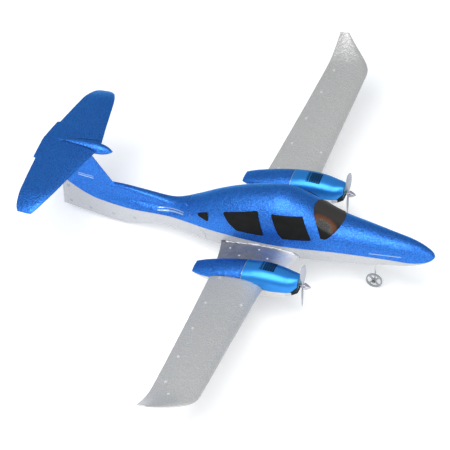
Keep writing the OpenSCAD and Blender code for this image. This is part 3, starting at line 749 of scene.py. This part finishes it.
class AEROPLANE_OT_gear(bpy.types.Operator):
    """Wheels with rounded rims and spokes"""

    bl_idname = "aeroplane.gear"
    bl_label = "Landing gear"

    def execute(self, context):
        sizes = context.scene.aeroplane_sizes
        grey = moulded_plastic("Wheel plastic", (0.30, 0.31, 0.33), 0.35)
        for node, name in (
            ("nose_wheel", "nose_wheel_rim"),
            ("main_wheel_left", "main_wheel_rim_left"),
            ("main_wheel_right", "main_wheel_rim_right"),
        ):
            rounded_part(node, name, grey, sizes.edge_round)
        return {"FINISHED"}


MARK_HEIGHT = 0.36 * MM
MARK_DIP = 0.14 * MM
ROOT_MARKS = 4  # the first marks of the table lie on the root panel
WING_MARKS = (
    # forward, out: steam marks on the top of a wing, in millimetres
    (9, 36),
    (37, 35.5),
    (22, 47.5),
    (48.5, 46),
    (15.5, 81),
    (16, 118),
    (47.5, 112),
    (18, 155),
    (20.5, 195),
    (22.5, 229),
    (31, 244),
)
# Forward, up: steam marks on the sides of the keel, in millimetres.
KEEL_MARKS = ((-168.5, 33.5), (-167, 14), (-146, 12.5), (-121.5, 14), (-98.5, 17.5))
GLUE_STEPS = 60
GLUE_REAR = 1  # the glue line starts this far forward and runs for its length, in millimetres
GLUE_LENGTH = 67
GLUE_GUESS = 28 * MM  # first guess of how far out the body's side is


class AEROPLANE_OT_marks(bpy.types.Operator):
    """Round steam marks of the mould and the glue lines at the wing roots"""

    bl_idname = "aeroplane.marks"
    bl_label = "Mould marks"

    def execute(self, context):
        sizes = context.scene.aeroplane_sizes
        pale = moulded_plastic("Pressed foam", (0.80, 0.81, 0.83), 0.3, 0.03 * MM, 0.3)
        plain = moulded_plastic("Pressed wing foam", (0.66, 0.655, 0.65), 0.35, 0.03 * MM, 0.2)
        dull = moulded_plastic("Pressed keel foam", (0.42, 0.43, 0.45), 0.45, 0.03 * MM)
        glue = moulded_plastic("Glue", (0.78, 0.80, 0.84), 0.25, 0.08 * MM)
        for side, out in (("left", 1), ("right", -1)):
            skin = bpy.data.objects["wing_skin_" + side]
            places = [
                self.drop(skin, (x * MM, out * y * MM, RAY_START), (0, 0, -1))
                for x, y in WING_MARKS
            ]
            root, outer = places[:ROOT_MARKS], places[ROOT_MARKS:]
            self.press(root, 0.55 * sizes.steam_mark, "root_steam_marks_" + side, pale)
            self.press(outer, 0.8 * sizes.steam_mark, "wing_steam_marks_" + side, plain)
            keel = bpy.data.objects["tail_keel_skin"]
            places = [
                self.drop(keel, (x * MM, out * RAY_START, z * MM), (0, -out, 0))
                for x, z in KEEL_MARKS
            ]
            self.press(places, sizes.steam_mark, "keel_steam_marks_" + side, dull)
            self.glue_line(side, out, glue)
        return {"FINISHED"}

    def drop(self, skin, start, way):
        """Where a straight line meets a skin, and the skin's outward direction there."""
        found, place, normal, _ = skin.ray_cast(Vector(start), Vector(way))
        if not found:
            raise RuntimeError("no skin under " + skin.name)
        return place, normal

    def press(self, places, size, name, material):
        """Copies one ringed mark to each place and joins them."""
        bpy.ops.object.select_all(action="DESELECT")
        bpy.ops.mesh.primitive_cylinder_add(
            vertices=24, radius=size / 2, depth=MARK_HEIGHT
        )
        mark = bpy.context.object
        bpy.ops.object.mode_set(mode="EDIT")
        self.pick_top(mark)
        bpy.ops.mesh.inset(thickness=0.2 * size)
        bpy.ops.transform.translate(value=(0, 0, -MARK_DIP))
        bpy.ops.object.mode_set(mode="OBJECT")
        add_modifier(mark, "BEVEL", width=0.05 * MM, segments=2, limit_method="ANGLE")
        copies = []
        for place, normal in places:
            copy = bpy.data.objects.new(name, mark.data.copy())
            bpy.context.scene.collection.objects.link(copy)
            turn = normal.to_track_quat("Z", "Y").to_matrix().to_4x4()
            copy.data.transform(Matrix.Translation(place) @ turn)
            copies.append(copy)
        bpy.data.objects.remove(mark)
        work_on(*copies)
        bpy.ops.object.join()
        joined = bpy.context.object
        joined.name = name
        bpy.ops.object.shade_smooth_by_angle(angle=radians(35))
        dress(joined, material, body="airframe")

    def pick_top(self, mark):
        """Selects the top face in edit mode."""
        mesh = bmesh.from_edit_mesh(mark.data)
        mesh.select_mode = {"FACE"}
        for face in mesh.faces:
            face.select_set(face.normal.z > 0.9)
        mesh.select_flush_mode()
        bmesh.update_edit_mesh(mark.data)

    def glue_line(self, side, out, material):
        """A ragged bead of glue where the wing's top meets the body."""
        wing = bpy.data.objects["wing_skin_" + side]
        belly = bpy.data.objects["body_belly"]
        chance = random.Random(5)
        path = []
        for step in range(GLUE_STEPS + 1):
            x = (GLUE_REAR + GLUE_LENGTH * step / GLUE_STEPS) * MM
            edge = out * GLUE_GUESS
            for _ in range(3):
                above = (x, edge + out * 0.8 * MM, RAY_START)
                top = self.drop(wing, above, (0, 0, -1))[0].z
                beside = (x, out * 60 * MM, top + 1.0 * MM)
                edge = self.drop(belly, beside, (0, -out, 0))[0].y
            path.append(Vector((x, edge + out * 0.3 * MM, top + 0.1 * MM)))
        curve = bpy.data.curves.new("root_glue_line_" + side, "CURVE")
        curve.dimensions = "3D"
        curve.bevel_depth = 0.5 * MM
        curve.bevel_resolution = 3
        curve.use_fill_caps = True
        spline = curve.splines.new("POLY")
        spline.points.add(len(path) - 1)
        for point, place in zip(spline.points, path):
            lift = chance.uniform(-0.25, 0.45) * MM
            shift = out * chance.uniform(-0.1, 0.5) * MM
            point.co = (place.x, place.y + shift, place.z + lift, 1)
            point.radius = chance.uniform(0.35, 1.5)
        bead = bpy.data.objects.new("root_glue_line_" + side, curve)
        bpy.context.scene.collection.objects.link(bead)
        work_on(bead)
        bpy.ops.object.convert(target="MESH")
        add_modifier(bead, "SUBSURF", levels=1, render_levels=1)
        bpy.ops.object.shade_smooth()
        dress(bead, material, body="airframe")


class AEROPLANE_OT_fittings(bpy.types.Operator):
    """Finishes for the small parts that keep their own shape"""

    bl_idname = "aeroplane.fittings"
    bl_label = "Small fittings"

    def execute(self, context):
        slots = {
            "steel": drawn_metal("Bright wire", (0.62, 0.62, 0.63)),
            "motor_can": drawn_metal("Motor can", (0.55, 0.56, 0.58), 0.32),
            "black_plastic": moulded_plastic("Black fitting", (0.015, 0.015, 0.016), 0.4),
            "white_plastic": moulded_plastic("White fitting", (0.72, 0.72, 0.73), 0.35),
            "carbon": moulded_plastic("Carbon rod", (0.02, 0.02, 0.022), 0.3),
            "plywood": moulded_plastic("Plywood", (0.45, 0.30, 0.16), 0.6),
            "battery_foil": drawn_metal("Battery foil", (0.6, 0.61, 0.63), 0.4),
            "circuit_board": moulded_plastic("Circuit board", (0.02, 0.16, 0.07), 0.3),
        }
        for node, piece in nodes.items():
            if SLOT_OF[node] in slots:
                for place in range(len(piece.material_slots)):
                    piece.material_slots[place].material = slots[SLOT_OF[node]]
        return {"FINISHED"}


# ---- Stage ---------------------------------------------------------------------------------

CAMERA_TARGET = Vector((-9.5, 0, 30.5)) * MM
CAMERA_AZIMUTH = 20.38
CAMERA_ELEVATION = 42.0
CAMERA_DISTANCE = 1788.4 * MM
CAMERA_LENS = 152.8
FLOOR_SIZE = 12
FLOOR_COLOUR = (0.93, 0.93, 0.93)
FLOOR_GLOW = 0.22  # the floor's own light, which lifts the shadows on it
SKY_COLOUR = (0.9, 0.95, 1.0, 1.0)
SKY_STRENGTH = 0.50


class AEROPLANE_OT_stage(bpy.types.Operator):
    """White floor, soft lights and the camera"""

    bl_idname = "aeroplane.stage"
    bl_label = "Stage"

    def execute(self, context):
        bpy.ops.mesh.primitive_plane_add(size=FLOOR_SIZE)
        floor = bpy.context.object
        floor.name = "studio_floor"
        paper = Finish("White paper", roughness=0.9, base_color=FLOOR_COLOUR)
        paper.set("Emission Color", (1.0, 1.0, 1.0))
        paper.set("Emission Strength", FLOOR_GLOW)
        floor.data.materials.append(paper.material)
        world = bpy.data.worlds.new("Studio")
        world.use_nodes = True
        sky = world.node_tree.nodes["Background"]
        sky.inputs["Color"].default_value = SKY_COLOUR
        sky.inputs["Strength"].default_value = SKY_STRENGTH
        bpy.context.scene.world = world
        self.soft_box("Key", (-0.15, -0.75, 1.35), 1.3, 22)
        self.soft_box("Front fill", (1.5, -1.3, 0.9), 1.2, 8)
        self.camera()
        bpy.context.scene.view_settings.view_transform = "Standard"
        return {"FINISHED"}

    def soft_box(self, name, place, size, power):
        """A square light that faces the object."""
        light = bpy.data.lights.new(name, "AREA")
        light.shape = "SQUARE"
        light.size = size
        light.energy = power
        lamp = bpy.data.objects.new(name, light)
        bpy.context.scene.collection.objects.link(lamp)
        lamp.location = place
        lamp.rotation_euler = (-Vector(place)).to_track_quat("-Z", "Y").to_euler()

    def camera(self):
        """A camera that looks down on the object from its left front."""
        data = bpy.data.cameras.new("Camera")
        data.lens = CAMERA_LENS
        data.sensor_width = 36
        data.clip_start = 0.05
        data.clip_end = 50
        camera = bpy.data.objects.new("Camera", data)
        bpy.context.scene.collection.objects.link(camera)
        azimuth, elevation = radians(CAMERA_AZIMUTH), radians(CAMERA_ELEVATION)
        level = cos(elevation)
        back = Vector((sin(azimuth) * level, -cos(azimuth) * level, sin(elevation)))
        camera.location = CAMERA_TARGET + CAMERA_DISTANCE * back
        camera.rotation_euler = (-back).to_track_quat("-Z", "Y").to_euler()
        bpy.context.scene.camera = camera


STEPS = (
    AEROPLANE_OT_body,
    AEROPLANE_OT_wings,
    AEROPLANE_OT_pods,
    AEROPLANE_OT_windows,
    AEROPLANE_OT_propellers,
    AEROPLANE_OT_gear,
    AEROPLANE_OT_marks,
    AEROPLANE_OT_fittings,
    AEROPLANE_OT_stage,
)


class AEROPLANE_PT_panel(bpy.types.Panel):
    """Lists the steps in the sidebar"""

    bl_label = "Foam Aeroplane"
    bl_idname = "AEROPLANE_PT_panel"
    bl_space_type = "VIEW_3D"
    bl_region_type = "UI"
    bl_category = "Aeroplane"

    def draw(self, context):
        for group in (context.scene.aeroplane_sizes, context.scene.aeroplane_colours):
            for key in group.__annotations__:
                self.layout.prop(group, key)
        for step in STEPS:
            self.layout.operator(step.bl_idname)


CLASSES = (AeroplaneSizes, AeroplaneColours, *STEPS, AEROPLANE_PT_panel)


def register():
    for made in CLASSES:
        bpy.utils.register_class(made)
    bpy.types.Scene.aeroplane_sizes = bpy.props.PointerProperty(type=AeroplaneSizes)
    bpy.types.Scene.aeroplane_colours = bpy.props.PointerProperty(type=AeroplaneColours)


def unregister():
    del bpy.types.Scene.aeroplane_colours
    del bpy.types.Scene.aeroplane_sizes
    for made in reversed(CLASSES):
        bpy.utils.unregister_class(made)


def main():
    register()
    for step in STEPS:
        group, name = step.bl_idname.split(".")
        getattr(getattr(bpy.ops, group), name)()


if __name__ == "__main__":
    main()
